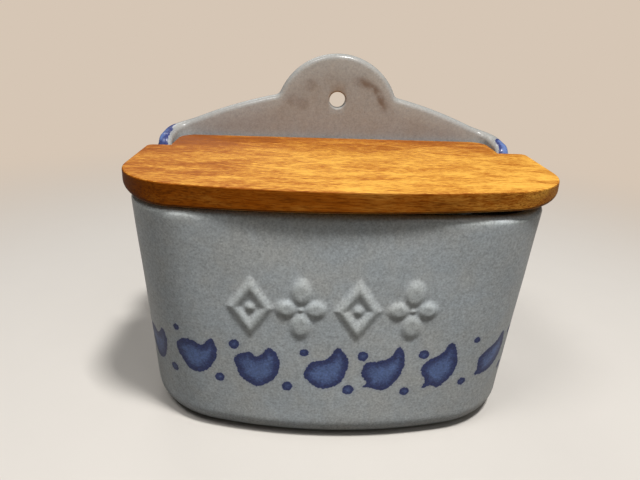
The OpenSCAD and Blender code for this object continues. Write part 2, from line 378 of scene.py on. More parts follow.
def wood_finish(colours):
    """A varnished board: short wavy grain along X, stained blotches, and a darker edge; the left end, the
    back and the edge are darker partly from staining and partly as painted shade.
    """
    f = Finish("varnished_board")
    wave = (f.noise(1.0, 2, 0.5, 0.0, f.stretched((0.03, 0.05, 0.05))) - 0.5) * 9
    across, up = f.y - RING_MIDDLE[0] + wave, f.z - RING_MIDDLE[1]
    ring = (across * across + up * up) ** 0.5
    late = (f.maths("SINE", ring * (2 * math.pi / RING_PITCH)) * 0.5 + 0.5) ** 2.0
    streak = f.noise(1.0, 3, 0.6, 0.4, f.stretched((0.2, 1.7, 2.4)))
    thread = f.noise(1.0, 2, 0.6, 0.3, f.stretched((0.5, 4.4, 5.0)))
    fleck = f.noise(1.0, 2, 0.5, 0.4, f.stretched((0.24, 1.1, 1.8), shift=(7, 3, 0)))
    blotch = f.noise(1.0, 3, 0.6, 0.7, f.stretched((0.05, 0.1, 0.1)))
    # Darker towards the left end and the back: partly staining, partly painted shade that leaves the middle
    # and right of the top lighter, as if lit from the right
    left = f.x.smooth(0, -80)
    back = f.y.smooth(0, 38)
    tone = 0.62 + (streak - 0.5) * 1.8 + (thread - 0.5) * 2.0 - late * 0.1 + (blotch - 0.5) * 1.4
    tone = tone - left * 0.4 - back * 0.5
    light = f.mix(tone.smooth(0.05, 1.0), colours.wood_mid, colours.wood_light)
    base = f.mix((0.4 - tone).smooth(0.0, 0.8), light, colours.wood_dark)
    pores = fleck.smooth(0.6, 0.72) * thread.smooth(0.4, 0.6)
    base = f.mix(pores * 0.35, base, colours.wood_dark)

    # Edges that face sideways take the edge colour: partly staining soaked into the edge grain, partly
    # painted shade where they face away from the light above. The painted shade is deepest at the left end
    # and eases towards the right, as if lit from the right
    facing = f.node("ShaderNodeSeparateXYZ", {}, {0: f.node("ShaderNodeNewGeometry").outputs["Normal"]})
    side = Value(f, facing.outputs[2]).size().smooth(0.85, 0.5)
    worn = f.noise(1.0, 3, 0.55, 0.4, f.stretched((0.03, 0.2, 0.2)))
    edge_stain_and_shade = side * (0.92 - f.x.smooth(-10, 80) * 0.42 - worn.smooth(0.45, 0.75) * 0.25)
    base = f.mix(edge_stain_and_shade, base, colours.wood_edge_stain_and_shade)
    dark = left * 0.35 + streak.smooth(0.55, 0.35) * 0.45 + worn.smooth(0.5, 0.3) * 0.3
    base = f.mix(side * dark, base, darker(colours.wood_edge_stain_and_shade, 0.3))
    rough = 0.5 + (streak - 0.5) * 0.2 + pores * 0.15 + (blotch - 0.5) * 0.14
    height = streak * 0.4 + thread * 0.3 - pores * 0.5
    return f.shade(base, rough, height, 0.06 * MM, IOR=1.4, Specular_IOR_Level=0.15)


def steel_finish(colours):
    """Dull steel with turning marks round the pin's axis and a few scattered dark spots."""
    f = Finish("dull_steel")
    marks = f.noise(1.0, 3, 0.6, 0.0, f.stretched((9, 0.8, 0.8)))
    spots = f.noise(1.8, 4, 0.6).smooth(0.5, 0.75)
    base = f.mix(spots * 0.4, colours.steel, darker(colours.steel, 0.45))
    rough = 0.34 + (marks - 0.5) * 0.2 + spots * 0.25
    return f.shade(base, rough, marks * 0.4 + spots * 0.3, 0.03 * MM, Metallic=1.0)


# How much of the floor's colour lights the object from below, and how much of it the glaze mirrors
FLOOR_BOUNCE = 0.15
FLOOR_MIRRORED = 0.4
# Distances in millimetres between which the floor runs out into the backdrop
FLOOR_FADE = (200, 560)


def floor_finish(colours):
    """A plain pale floor that keeps the shadow near the object and runs out into the backdrop far from it."""
    f = Finish("plain_floor")
    base = f.mix(f.noise(0.05, 2), colours.floor, darker(colours.floor, 0.98))
    path = f.node("ShaderNodeLightPath")
    camera, glossy = (Value(f, path.outputs[kind]) for kind in ("Is Camera Ray", "Is Glossy Ray"))
    seen = camera.most(glossy * FLOOR_MIRRORED)
    cloth = f.mix(seen, darker(colours.floor, FLOOR_BOUNCE), base)
    near = f.node("ShaderNodeBsdfDiffuse", {}, {"Color": cloth})
    far = f.node("ShaderNodeEmission", {}, {"Color": opaque(colours.backdrop)})
    reach = (f.x * f.x + f.y * f.y) ** 0.5
    share = reach.smooth(*FLOOR_FADE) * seen
    surface = f.node("ShaderNodeMixShader", {}, {0: share, 1: near.outputs[0], 2: far.outputs[0]})
    f.node("ShaderNodeOutputMaterial", {}, {"Surface": surface.outputs[0]})
    return f.material


def clear_selection():
    """Leaves nothing selected, so that an operator acts on the new piece alone."""
    if bpy.context.object and bpy.context.object.mode != "OBJECT":
        bpy.ops.object.mode_set(mode="OBJECT")
    bpy.ops.object.select_all(action="DESELECT")


def take(piece):
    """Makes piece the one that operators act on."""
    clear_selection()
    piece.select_set(True)
    bpy.context.view_layer.objects.active = piece


def pick(piece, kind, test):
    """Selects, in edit mode, the vertices, edges or faces of piece that pass a test of their mesh element."""
    bpy.ops.object.mode_set(mode="EDIT")
    bpy.ops.mesh.select_mode(type=kind)
    bpy.ops.mesh.select_all(action="DESELECT")
    bpy.ops.object.mode_set(mode="OBJECT")
    mesh = piece.data
    elements = {"VERT": mesh.vertices, "EDGE": mesh.edges, "FACE": mesh.polygons}[kind]
    for element in elements:
        element.select = bool(test(element))
    bpy.ops.object.mode_set(mode="EDIT")


def use(piece, kind, **settings):
    """Adds a modifier to piece and applies it."""
    take(piece)
    modifier = piece.modifiers.new(kind.title(), kind)
    for name, value in settings.items():
        setattr(modifier, name, value)
    bpy.ops.object.modifier_apply(modifier=modifier.name)


def complete(piece, name, material, body, slot, *nodes):
    """Names a piece, gives it its finish and its body, and hides the CAD nodes that it stands for."""
    take(piece)
    bpy.ops.object.transform_apply(location=True, rotation=True, scale=True)
    piece.name = name
    piece.data.name = name
    piece.data.materials.clear()
    piece.data.materials.append(material)
    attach(piece, body)
    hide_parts(*nodes)
    clear_selection()


def rod(radius, reach, place, turn=(0, math.pi / 2, 0), sides=48):
    """A cylinder centred on place, along X unless it is turned otherwise."""
    clear_selection()
    bpy.ops.mesh.primitive_cylinder_add(
        vertices=sides, radius=radius, depth=reach, location=place, rotation=turn
    )
    return bpy.context.object


def draw_out(along, across, *sizes):
    """Extrudes the picked faces by a vector, and then scales them across by the ratio of two sizes."""
    bpy.ops.mesh.extrude_region_move(TRANSFORM_OT_translate={"value": along})
    if sizes:
        ratio = sizes[0] / sizes[1]
        bpy.ops.transform.resize(value=[ratio if axis in across else 1 for axis in "XYZ"])


def quarter_turn(steps, last):
    """For each step round a quarter circle: the cosine of its angle, and how much its sine has grown."""
    for i in range(1, last + 1):
        angle = math.pi / 2 * i / steps
        yield math.cos(angle), math.sin(angle) - math.sin(math.pi / 2 * (i - 1) / steps)


def soften(piece, degrees):
    """Smooth shading, with every edge sharper than this many degrees left crisp."""
    take(piece)
    bpy.ops.object.shade_smooth_by_angle(angle=math.radians(degrees))


# Parts of the tub's wall, in order from the middle of the front to the middle of the back
BOW, CORNER, FLANK, EAR, REAR, BACK = range(6)
# Steps along the parts that are divided evenly: fine in front, where the frieze and the border lie
BOW_STEPS, CORNER_STEPS, FLANK_STEPS, REAR_STEPS = 84, 52, 36, 12
# Least radius of the rear corners inside
LEAST_CORNER = 1.5 * MM
# Share of the turn round each rear corner that lies along the top of its ear
EAR_SHARE = 0.25


def by_part(kind, *values):
    """What belongs to each column, from one value for every part of the wall."""
    return np.select([kind == part for part in range(BACK)], values[:BACK], values[BACK])


class TubWall:
    """The tub's wall as a skin: a column round it, a height, and a depth into the clay give a point."""

    def __init__(self, sizes):
        self.s = sizes
        self.wall_y = TUB_HI.y
        self.ear_front = HINGE.y - sizes.ear
        self.ear_foot = self.ear_front - sizes.ear_root
        self.rear_start = self.wall_y - sizes.rear_corner
        self.rear_end = sizes.half_width - sizes.rear_corner

    def low(self, z):
        return np.maximum(0, 1 - z / self.s.rim)

    def half(self, z):
        return self.s.half_width - self.s.side_draft * (1 - z / self.s.rim)

    def bow(self, z):
        return 1 / ((1 - self.low(z)) / self.s.rim_bow + self.low(z) / self.s.base_bow)

    def corner(self, z):
        return self.s.rim_corner + (self.s.base_corner - self.s.rim_corner) * self.low(z)

    def turn(self, z):
        """The angle at which the bowed front meets the corner's arc."""
        return np.arcsin((self.half(z) - self.corner(z)) / (self.bow(z) - self.corner(z)))

    def front(self, z):
        return TUB_LO.y + self.s.front_draft * (1 - z / self.s.rim)

    def corner_y(self, z):
        bow, corner = self.bow(z), self.corner(z)
        return self.front(z) + bow - np.sqrt((bow - corner) ** 2 - (self.half(z) - corner) ** 2)

    def point(self, kind, value, z, depth):
        """Plan position of each column at height z, depth inside the outer face."""
        half, bow, corner, turn = self.half(z), self.bow(z), self.corner(z), self.turn(z)
        corner_y = self.corner_y(z)
        at_bow = value * turn
        at_corner = turn + value * (math.pi / 2 - turn)
        rear = np.maximum(self.s.rear_corner - depth, LEAST_CORNER)
        at_rear = value * math.pi / 2
        inner_end = half - depth - rear
        back = value * np.minimum(1, inner_end / self.rear_end)
        x = by_part(
            kind,
            (bow - depth) * np.sin(at_bow),
            half - corner + (corner - depth) * np.sin(at_corner),
            half - depth,
            half - depth,
            inner_end + rear * np.cos(at_rear),
            back,
        )
        y = by_part(
            kind,
            self.front(z) + bow - (bow - depth) * np.cos(at_bow),
            corner_y - (corner - depth) * np.cos(at_corner),
            corner_y + value * (self.ear_foot - corner_y),
            value,
            self.wall_y - depth - rear + rear * np.sin(at_rear),
            self.wall_y - depth,
        )
        return x, y

    def run(self, kind, value, z):
        """Length round the outer face from the middle of the front, at height z."""
        bow, corner, turn, corner_y = self.bow(z), self.corner(z), self.turn(z), self.corner_y(z)
        front = bow * turn
        side = front + corner * (math.pi / 2 - turn)
        rear = side + self.rear_start - corner_y
        return by_part(
            kind,
            front * value,
            front + corner * value * (math.pi / 2 - turn),
            side + value * (self.ear_foot - corner_y),
            side + value - corner_y,
            rear + value * math.pi / 2 * self.s.rear_corner,
            rear + math.pi / 2 * self.s.rear_corner + self.rear_end - value,
        )

    def turn_line(self, share):
        """Top edge from the ear's crown round the rear corner, share 0 to 1."""
        crown = HINGE.z + self.s.ear
        low = self.slope_line(self.rear_end)
        return crown + (self.s.turn_low - crown) * share + (low - self.s.turn_low) * share**3

    def slope_line(self, x):
        """Top edge of the sloping part, a shallow arc between its ends."""
        neck_x = self.neck_x()
        run, drop = self.s.slope_end - neck_x, self.s.neck - self.s.slope_low
        share = (self.s.slope_end - x) / run
        rise = share * (1 - share) * (run**2 + drop**2) / (2 * self.s.slope_bow)
        return self.s.slope_low + drop * share + rise

    def neck_x(self):
        return math.sqrt(self.s.dome**2 - (self.s.neck - TUB_HI.z + self.s.dome) ** 2)

    def ear_path(self):
        """Outline of one ear in Y and Z: up its root, over its crown and back to the rear corner."""
        root, ear = self.s.ear_root, self.s.ear
        up = np.radians(np.linspace(0, 84, 9))
        over = np.radians(np.linspace(6, 90, 15))
        back = np.linspace(HINGE.y, self.rear_start, 6)[1:]
        y = np.concatenate([self.ear_foot + root * np.sin(up), HINGE.y - ear * np.cos(over), back])
        z = np.concatenate(
            [
                self.s.rim + root - root * np.cos(up),
                HINGE.z + ear * np.sin(over),
                self.turn_line(EAR_SHARE * (back - HINGE.y) / (self.rear_start - HINGE.y)),
            ]
        )
        return y, z

    def plate_path(self):
        """Outline of half the hanging plate in X and Z: along its slope, round the neck and up the dome."""
        neck_x, soft = self.neck_x(), self.s.neck_soft
        centre = TUB_HI.z - self.s.dome
        neck_angle = math.asin(neck_x / self.s.dome)
        x = np.linspace(self.rear_end, neck_x + soft, 24)
        slope = np.stack([x, self.slope_line(x)])
        angles = np.linspace(neck_angle - soft / self.s.dome, 0, 26)
        dome = np.stack([self.s.dome * np.sin(angles), centre + self.s.dome * np.cos(angles)])
        share = np.linspace(0, 1, 7)[1:-1]
        corner = np.array([[neck_x], [self.s.neck]])
        neck = (1 - share) ** 2 * slope[:, -1:] + 2 * share * (1 - share) * corner + share**2 * dome[:, :1]
        return np.concatenate([slope[:, 1:], neck, dome], axis=1)


def along(x, z):
    """Length along a line of points, from 0 to 1."""
    step = np.hypot(np.diff(x), np.diff(z))
    run = np.concatenate([[0], np.cumsum(step)])
    return run / run[-1]


def outward(x, z):
    """Normals of a line of points, pointing up and out of the clay."""
    dx, dz = np.gradient(x), np.gradient(z)
    flip = np.sign(dx.sum())
    size = np.hypot(dx, dz)
    return -dz / size * flip, dx / size * flip


def wall_columns(wall):
    """Columns of the right half.

    Each gives its part of the wall, its place low down, and its place, height and normal at the top.
    """
    level = (0.0, 1.0)
    rows = []
    evenly = (BOW, BOW_STEPS, 0), (CORNER, CORNER_STEPS, 1), (FLANK, FLANK_STEPS, 1)
    for kind, steps, first in evenly:
        for i in range(first, steps + 1):
            rows.append((kind, i / steps, i / steps, wall.s.rim, *level))
    y, z = wall.ear_path()
    ny, nz = outward(y, z)
    low_y = wall.ear_foot + (wall.rear_start - wall.ear_foot) * along(y, z)
    rows += [(EAR, *row) for row in zip(low_y[1:-1], y[1:-1], z[1:-1], ny[1:-1], nz[1:-1])]
    for i in range(REAR_STEPS + 1):
        share = i / REAR_STEPS
        turned = wall.turn_line(EAR_SHARE + (1 - EAR_SHARE) * i / REAR_STEPS)
        rows.append((REAR, share, share, turned, *level))
    x, z = wall.plate_path()
    nx, nz = outward(x, z)
    low_x = x[0] * (1 - along(x, z))
    rows += [(BACK, *row) for row in zip(low_x, x, z, nx, nz)]
    return np.array(rows).T


def section_rows(s):
    """Rows of the skin from under the foot to the floor inside, closest where the border and the frieze lie.

    Each gives its part of the section, and its share of that part's height or its angle round it.
    """
    heights = np.concatenate(
        [
            np.arange(s.foot, 22 * MM, 1.6 * MM),
            np.arange(22 * MM, 46 * MM, 0.7 * MM),
            np.arange(46 * MM, 74 * MM, 0.6 * MM),
            np.linspace(74 * MM, s.rim - s.edge, 13),
        ]
    )
    up = (heights[1:] - s.foot) / (s.rim - s.edge - s.foot)
    quarter = np.linspace(0, math.pi / 2, 8)
    rows = [("foot", a) for a in np.linspace(math.pi / 2, 0, 10)]
    rows += [("outside", share) for share in up]
    rows += [("outer_edge", a) for a in quarter[1:]]
    rows += [("inner_edge", a) for a in quarter[::-1]]
    rows += [("inside", share) for share in np.linspace(1, 0, 16)[1:]]
    rows += [("cove", a) for a in np.linspace(0, math.pi / 2, 7)[1:]]
    return rows


def smooth_step(x, start, end):
    """0 before start and 1 after end, with a smooth run between them."""
    share = np.clip((x - start) / (end - start), 0, 1)
    return share * share * (3 - 2 * share)


def frieze_height(x, z, s):
    """How far the frieze stands out at x and z: four motifs in a row, soft under the glaze."""
    rise = np.zeros_like(x)
    for middle, motif in FRIEZE:
        distance = motif((x - middle * MM) / MM, (z - s.height) / MM, s.stroke / MM) * MM
        rise = np.maximum(rise, 1 - smooth_step(distance, -s.soft, s.soft))
    return rise * s.rise


def oval(x, z, wide, tall):
    """Distance from the edge of an upright or level oval, in millimetres."""
    return (np.hypot(x / wide, z / tall) - 1) * min(wide, tall)


def lozenge(x, z, stroke):
    """Distance from the edge of a raised lozenge outline with a boss in its middle."""
    wide, tall = 6.2, 9.0
    line = np.abs((np.abs(x) / wide + np.abs(z) / tall - 1) * wide * tall / math.hypot(wide, tall)) - stroke
    return np.minimum(line, np.hypot(x, z) - 1.5)


def four_petals(x, z, stroke):
    """Distance from the edge of a flower of four plain petals round a boss."""
    petals = np.minimum(oval(x, np.abs(z) - 7.0, 3.3, 4.8), oval(np.abs(x) - 5.5, z, 3.4, 3.1))
    return np.minimum(petals, np.hypot(x, z) - 0.5 * stroke)


# Motifs of the frieze: how far each stands to the right of the middle in millimetres, and its shape
FRIEZE = ((-32.2, lozenge), (-13.2, four_petals), (8.1, lozenge), (28.7, four_petals))


def smooth_outline(corners, steps=5):
    """Points of a closed curve that runs smoothly through corners."""
    corners = np.array(corners, float).reshape(-1, 2)
    t = (np.arange(steps) / steps)[:, None]
    before, here, after, beyond = (np.roll(corners, n, 0)[:, None] for n in (1, 0, -1, -2))
    bend = 2 * before - 5 * here + 4 * after - beyond
    twist = 3 * here - before - 3 * after + beyond
    return (here + 0.5 * ((after - before) * t + bend * t**2 + twist * t**3)).reshape(-1, 2)


def depth_inside(outline, x, z):
    """Distance from a closed outline, positive inside it."""
    ends = np.roll(outline, -1, 0)
    nearest = np.full(x.shape, np.inf)
    inside = np.zeros(x.shape, bool)
    for (ax, az), (bx, bz) in zip(outline, ends):
        ex, ez = bx - ax, bz - az
        share = np.clip(((x - ax) * ex + (z - az) * ez) / (ex * ex + ez * ez), 0, 1)
        nearest = np.minimum(nearest, np.hypot(x - ax - share * ex, z - az - share * ez))
        if az != bz:
            inside ^= ((az > z) != (bz > z)) & (x < ax + (z - az) * ex / ez)
    return np.where(inside, nearest, -nearest)


# Outlines of the sponged dabs, across and up from the middle of each, in millimetres
DABS = {
    "leaf": (
        -9.2, 1.6, -7.6, 5.6, -5.0, 6.4, -2.2, 5.8, 0.6, 4.8, 2.6, 6.2, 4.8, 8.8, 6.6, 7.0,
        7.4, 3.3, 6.6, -1.2, 4.4, -5.8, 0.9, -8.2, -3.0, -7.8, -6.2, -4.8, -8.4, -1.4,
    ),
    "bowl": (
        -9.3, 2.8, -7.6, 5.6, -4.8, 6.9, -2.6, 7.1, -0.6, 5.4, 1.6, 6.8, 3.6, 9.2, 5.4, 9.4,
        7.3, 7.4, 8.6, 4.2, 8.5, 0.4, 7.4, -3.3, 5.0, -6.1, 0.0, -8.9, -5.8, -6.0, -8.4, -1.0,
    ),
    "comma": (
        -8.7, -1.6, -7.9, 1.4, -6.4, 3.9, -4.1, 5.2, -0.8, 5.8, 1.5, 7.6, 2.7, 10.2, 4.4, 11.3,
        6.8, 8.9, 8.4, 5.1, 8.1, 0.9, 6.8, -3.0, 4.0, -6.4, -0.5, -8.1, -4.6, -6.6, -7.5, -4.2,
    ),
    "spiked": (
        -8.7, -0.4, -8.3, 2.6, -6.6, 4.7, -1.9, 5.5, 2.4, 7.2, 4.1, 10.6, 5.6, 11.6, 7.2, 9.6, 8.3, 5.6,
        8.1, 2.6, 6.2, -2.7, 3.0, -7.1, -0.3, -8.6, -5.0, -7.3, -7.9, -6.9, -6.6, -5.0, -7.4, -3.1,
    ),
    "pointed": (
        -7.6, 1.4, -5.3, 4.6, -2.2, 6.4, 0.6, 8.2, 2.3, 11.2, 3.8, 12.7, 5.5, 10.5, 6.8, 6.8, 7.2, 2.6,
        6.7, -1.0, 4.6, -5.0, 0.2, -8.9, -2.6, -7.8, -6.6, -8.6, -5.6, -5.2, -7.1, -1.6,
    ),
    "blade": (
        5.4, 11.6, 1.9, 7.9, -1.5, 6.0, -4.6, 4.2, -6.7, 2.4, -7.1, -1.2, -6.6, -4.0, -8.2, -6.4,
        -4.4, -6.8, -1.0, -6.6, 3.2, -4.9, 6.4, -1.2, 8.0, 3.2, 7.2, 8.0,
    ),
    "heart": (
        -9.3, 3.4, -7.9, 6.9, -5.4, 8.4, -1.4, 8.6, 0.6, 7.6, 2.6, 7.0, 4.4, 9.2, 6.6, 10.6,
        7.9, 8.6, 8.6, 5.2, 8.0, 1.6, 6.2, -2.2, 3.8, -5.0, 0.4, -6.6, -3.6, -5.8, -6.6, -2.4,
    ),
}
# Dabs of the border: (outline, length round the tub, height)
BORDER = (
    ("comma", -124.0, 33.6), ("bowl", -100.4, 33.2), ("leaf", -76.6, 34.4), ("heart", -54.2, 34.2),
    ("bowl", -29.6, 33.2), ("comma", -2.8, 33.0), ("spiked", 19.6, 32.9), ("pointed", 42.4, 33.0),
    ("blade", 66.4, 34.2), ("bowl", 92.2, 33.4), ("comma", 117.0, 33.2),
)
OUTLINES = {name: smooth_outline(corners) for name, corners in DABS.items()}
# Dots above and below the dabs: (length round the tub, height, radius)
DOTS = (
    (-114.5, 43.6, 1.7), (-113.0, 25.6, 2.0), (-89.0, 42.8, 1.9), (-87.4, 25.0, 1.8),
    (-62.8, 47.0, 1.5), (-66.0, 26.4, 2.0), (-38.7, 43.4, 2.1), (-45.0, 26.8, 2.0),
    (-11.6, 41.5, 1.7), (-17.9, 25.6, 2.0), (11.1, 40.6, 2.2), (6.1, 24.8, 2.2),
    (35.2, 40.6, 2.1), (28.8, 23.4, 2.0), (56.6, 45.6, 1.4), (52.9, 25.9, 1.8),
    (79.5, 43.0, 1.8), (77.6, 25.4, 2.0), (103.5, 42.6, 1.9), (102.0, 25.0, 1.8),
)
# How much sooner a dot pales towards its middle than a dab does
DOT_FADE = 1.7
# How far round the tub from its middle a dab can still colour the skin, in millimetres
DAB_REACH = 14


def cobalt_depth(run, z):
    """Distance inside the nearest dab or dot of the border, positive inside, in millimetres."""
    depth = np.full_like(run, -COBALT_REACH)
    for name, across, up in BORDER:
        near = np.abs(run - across) < DAB_REACH
        if near.any():
            dab = depth_inside(OUTLINES[name], run[near] - across, z[near] - up)
            depth[near] = np.maximum(depth[near], dab)
    for across, up, radius in DOTS:
        dot = radius - np.hypot(run - across, z - up)
        depth = np.maximum(depth, np.where(dot > 0, dot * DOT_FADE, dot))
    return depth


# How far below the top edge a column starts to lean to its place there
LEAN_RUN = 14 * MM
# Distances below the top edge between which the glaze thins, and how thin it gets before the edge turns over
THIN_RUN, THIN_MOST = (5 * MM, 1 * MM), 0.6
# How far the cast wall swells and sinks
UNEVEN = 0.08 * MM


def swell(run, z):
    """The slow unevenness of a cast wall, -1 to 1."""
    return np.sin(run * 95 + z * 40) * np.sin(z * 130 + run * 31)


def section_point(part, at, s, top_z, normal_z):
    """Height and depth of one row at each column, and its drop below the top where the edge is round."""
    inner_z = s.floor + s.cove
    edge_z = top_z - normal_z * s.edge
    if part == "foot":
        return s.foot * (1 - math.sin(at)) + 0 * top_z, s.foot * (1 - math.cos(at)), None
    if part == "outside":
        return s.foot + at * (edge_z - s.foot), 0.0, None
    if part == "inside":
        return inner_z + at * (edge_z - inner_z), s.wall, None
    if part == "cove":
        up, inwards = s.cove * (1 - math.sin(at)), s.cove * (1 - math.cos(at))
        return s.floor + up + 0 * top_z, s.wall + inwards, None
    drop = s.edge * (1 - math.sin(at))
    inset = s.edge * (1 - math.cos(at))
    return top_z - normal_z * drop, inset if part == "outer_edge" else s.wall - inset, drop


def wall_skin(wall, frieze):
    """Points of the whole skin, and what is painted on them: rows by columns."""
    s = wall.s
    kind, low, top, top_z, normal_v, normal_z = wall_columns(wall)
    edge_z = top_z - normal_z * s.edge
    points, cobalt, thin = [], [], []
    for part, at in section_rows(s):
        z, depth, drop = section_point(part, at, s, top_z, normal_z)
        if drop is None:
            lean = smooth_step(z, edge_z - LEAN_RUN, edge_z)
            value = low + (top - normal_v * s.edge - low) * lean
        else:
            value = top - normal_v * drop
        value = np.where((kind == EAR) | (kind == BACK), value, low)
        run = wall.run(kind, value, z)
        both = []
        for side in (1, -1):
            raised = 0 * z
            if part == "outside":
                raised = np.where(kind <= CORNER, frieze_height(side * run, z, frieze), 0)
                raised = raised + UNEVEN * np.where(kind < FLANK, swell(side * run, z), 0)
            x, y = wall.point(kind, value, z, depth - raised)
            shift = HOLE["pos_m"][0] * np.minimum(1, (s.slope_end - low) / (s.slope_end - wall.neck_x()))
            x = side * x + np.where(kind == BACK, np.maximum(0, shift), 0)
            inside = np.full_like(z, -COBALT_REACH)
            if part in ("foot", "outside"):
                inside = cobalt_depth(side * run / MM, z / MM)
            if part in ("outside", "outer_edge", "inner_edge"):
                inside = np.maximum(inside, ear_dab(side, run, z, edge_z, part, at, wall))
            paint = np.clip(inside + COBALT_REACH, 0, None)
            over_edge = 1.0
            if drop is None:
                over_edge = smooth_step(z, top_z - THIN_RUN[0], top_z - THIN_RUN[1]) * THIN_MOST
            pale = np.maximum(over_edge, raised / frieze.rise)
            both.append((np.stack([x, y, z], -1), paint, pale + 0 * z))
        for rows, right, left in zip((points, cobalt, thin), *both):
            rows.append(ring(right, left))
    return np.array(points), np.array(cobalt), np.array(thin)


def ring(right, left):
    """One closed row: up the right half from the front, back down the left, and the first column again."""
    return np.concatenate([right, left[-2:0:-1], right[:1]])


# The dab along each ear, in millimetres: how far over the edge its middle lies, and half its breadth
EAR_DAB_OVER, EAR_DAB_HALF = 2.2, 4.0
# How far before the hinge axis it starts, and how far behind it the dab narrows and ends, left and right
EAR_DAB_START, EAR_DAB_NARROWS, EAR_DAB_END = 7, 3, {-1: 17, 1: 8}
# How much sooner each ear's dab pales towards its middle than a dab of the border does
EAR_DAB_FADE = {-1: 1.2, 1: 2.2}


def ear_dab(hand, run, z, edge_z, part, at, wall):
    """Distance inside the dab brushed along the outer edge of each ear, positive inside, in millimetres."""
    radius = wall.s.edge
    if part == "outside":
        over = z - edge_z
    else:
        over = radius * at + 0 * z
        if part == "inner_edge":
            over = radius * math.pi - over + wall.s.wall - 2 * radius
    side = wall.run(np.array(EAR), HINGE.y, wall.s.rim)
    start, end = side - EAR_DAB_START * MM, side + EAR_DAB_END[hand] * MM
    half = EAR_DAB_HALF * MM * (1 - 0.4 * smooth_step(run, side + EAR_DAB_NARROWS * MM, end))
    inside = np.minimum(np.minimum(run - start, end - run), half - np.abs(over - EAR_DAB_OVER * MM)) / MM
    return inside * np.where(inside > 0, EAR_DAB_FADE[hand], 1)


# Points of the skin's seam closer than this are merged, in metres
SEAM = 1e-7


def wrap(points, **painted):
    """A closed piece from rows of points: a grid wrapped round, its seam merged and its two ends filled."""
    rows, columns = points.shape[:2]
    clear_selection()
    bpy.ops.mesh.primitive_grid_add(x_subdivisions=columns - 1, y_subdivisions=rows - 1, size=2)
    piece = bpy.context.object
    piece.data.vertices.foreach_set("co", points.astype(np.float32).ravel())
    for name, values in painted.items():
        layer = piece.data.attributes.new(name, "FLOAT", "POINT")
        layer.data.foreach_set("value", values.astype(np.float32).ravel())
    bpy.ops.object.mode_set(mode="EDIT")
    bpy.ops.mesh.select_all(action="SELECT")
    bpy.ops.mesh.remove_doubles(threshold=SEAM)
    bpy.ops.mesh.fill_holes(sides=0)
    bpy.ops.mesh.select_all(action="SELECT")
    bpy.ops.mesh.normals_make_consistent(inside=False)
    bpy.ops.object.mode_set(mode="OBJECT")
    return piece


# Radius of the bores through the ears, and the length of the tool that drills them
EAR_BORE, EAR_REACH = 1.55 * MM, 16 * MM
# How far outside the plate's faces the flare of the hanging hole's tool ends, so that no thin skin is left
HOLE_SPARE = 0.04 * MM
# Steps round the hanging hole's flare, and round the head of a pin
FLARE_STEPS, HEAD_STEPS = 7, 8


def build_tub(sizes, frieze):
    """The tub in one skin, wrapped round the wall's columns from its foot to its floor, and then bored."""
    points, cobalt, thin = wall_skin(TubWall(sizes), frieze)
    tub = wrap(points, cobalt=cobalt, thin=thin)
    bore_hanging_hole(tub, sizes)
    for side in (-1, 1):
        cut(tub, rod(EAR_BORE, EAR_REACH, (side * TUB_HI.x, HINGE.y, HINGE.z)))
    soften(tub, 38)
    return tub


def cut(piece, cutter):
    """Takes cutter out of piece, and removes cutter."""
    use(piece, "BOOLEAN", operation="DIFFERENCE", solver="EXACT", object=cutter)
    mesh = cutter.data
    bpy.data.objects.remove(cutter)
    bpy.data.meshes.remove(mesh)


def bore_hanging_hole(tub, sizes):
    """Cuts the hanging hole with a tool that flares at both faces, so that the glazed edge is round."""
    middle, radius = Vector(HOLE["pos_m"]), HOLE["dims"]["r_mm"] * MM
    soft, reach = sizes.hole_soft, sizes.wall / 2 + HOLE_SPARE
    tool = rod(radius, 2 * (reach - soft), middle, turn=(math.pi / 2, 0, 0), sides=64)
    bpy.ops.object.transform_apply(location=False, rotation=True, scale=False)
    for end in (-1, 1):
        pick(tool, "FACE", lambda face: face.normal.y * end > 0.9 and face.center.y * end > 0)
        before = radius
        for cosine, growth in quarter_turn(FLARE_STEPS, FLARE_STEPS):
            out = radius + soft * (1 - cosine)
            draw_out((0, end * soft * growth, 0), "XZ", out, before)
            before = out
        draw_out((0, end * MM, 0), "")
        bpy.ops.object.mode_set(mode="OBJECT")
    cut(tub, tool)


def board_side(s, shift):
    """Half of the board's outline from its bowed front to its rear edge.

    Each row is a distance out from the middle, a place along Y, and the wear of the lower arris there.
    """
    half = (LID_HI.x - LID_LO.x) / 2
    corner_x = half - s.corner
    corner_y = LID_LO.y + s.bow - math.sqrt((s.bow - s.corner) ** 2 - corner_x**2)
    turn = math.asin(corner_x / (s.bow - s.corner))
    shoulder_y = HINGE.y - s.shoulder_gap
    rows = []
    for a in np.linspace(0, turn, 44):
        rows.append((shift + s.bow * math.sin(a), LID_LO.y + s.bow * (1 - math.cos(a)), 0))
    for share in np.linspace(0, 1, 37)[1:]:
        a = turn + (math.pi / 2 - turn) * share
        wear = smooth_step(share, 0.05, 0.75)
        rows.append((shift + corner_x + s.corner * math.sin(a), corner_y - s.corner * math.cos(a), wear))
    for share in np.linspace(0, 1, 18)[1:]:
        y = corner_y + (shoulder_y - s.shoulder - corner_y) * share
        rows.append((shift + half, y, 1 - 0.6 * smooth_step(share, 0.4, 1)))
    for a in np.linspace(0, math.pi / 2, 9)[1:]:
        x = shift + half - s.shoulder * (1 - math.cos(a))
        rows.append((x, shoulder_y - s.shoulder * (1 - math.sin(a)), 0.4 * math.cos(a)))
    for x in np.linspace(shift + half - s.shoulder, s.tongue, 8)[1:]:
        rows.append((x, shoulder_y, 0))
    for y in np.linspace(shoulder_y, LID_HI.y - s.tongue_corner, 14)[1:]:
        rows.append((s.tongue, y, 0))
    for a in np.linspace(0, math.pi / 2, 13)[1:]:
        x = s.tongue - s.tongue_corner * (1 - math.cos(a))
        rows.append((x, LID_HI.y - s.tongue_corner * (1 - math.sin(a)), 0))
    for x in np.linspace(s.tongue - s.tongue_corner, 0, 44)[1:]:
        rows.append((x, LID_HI.y, 0))
    return np.array(rows)


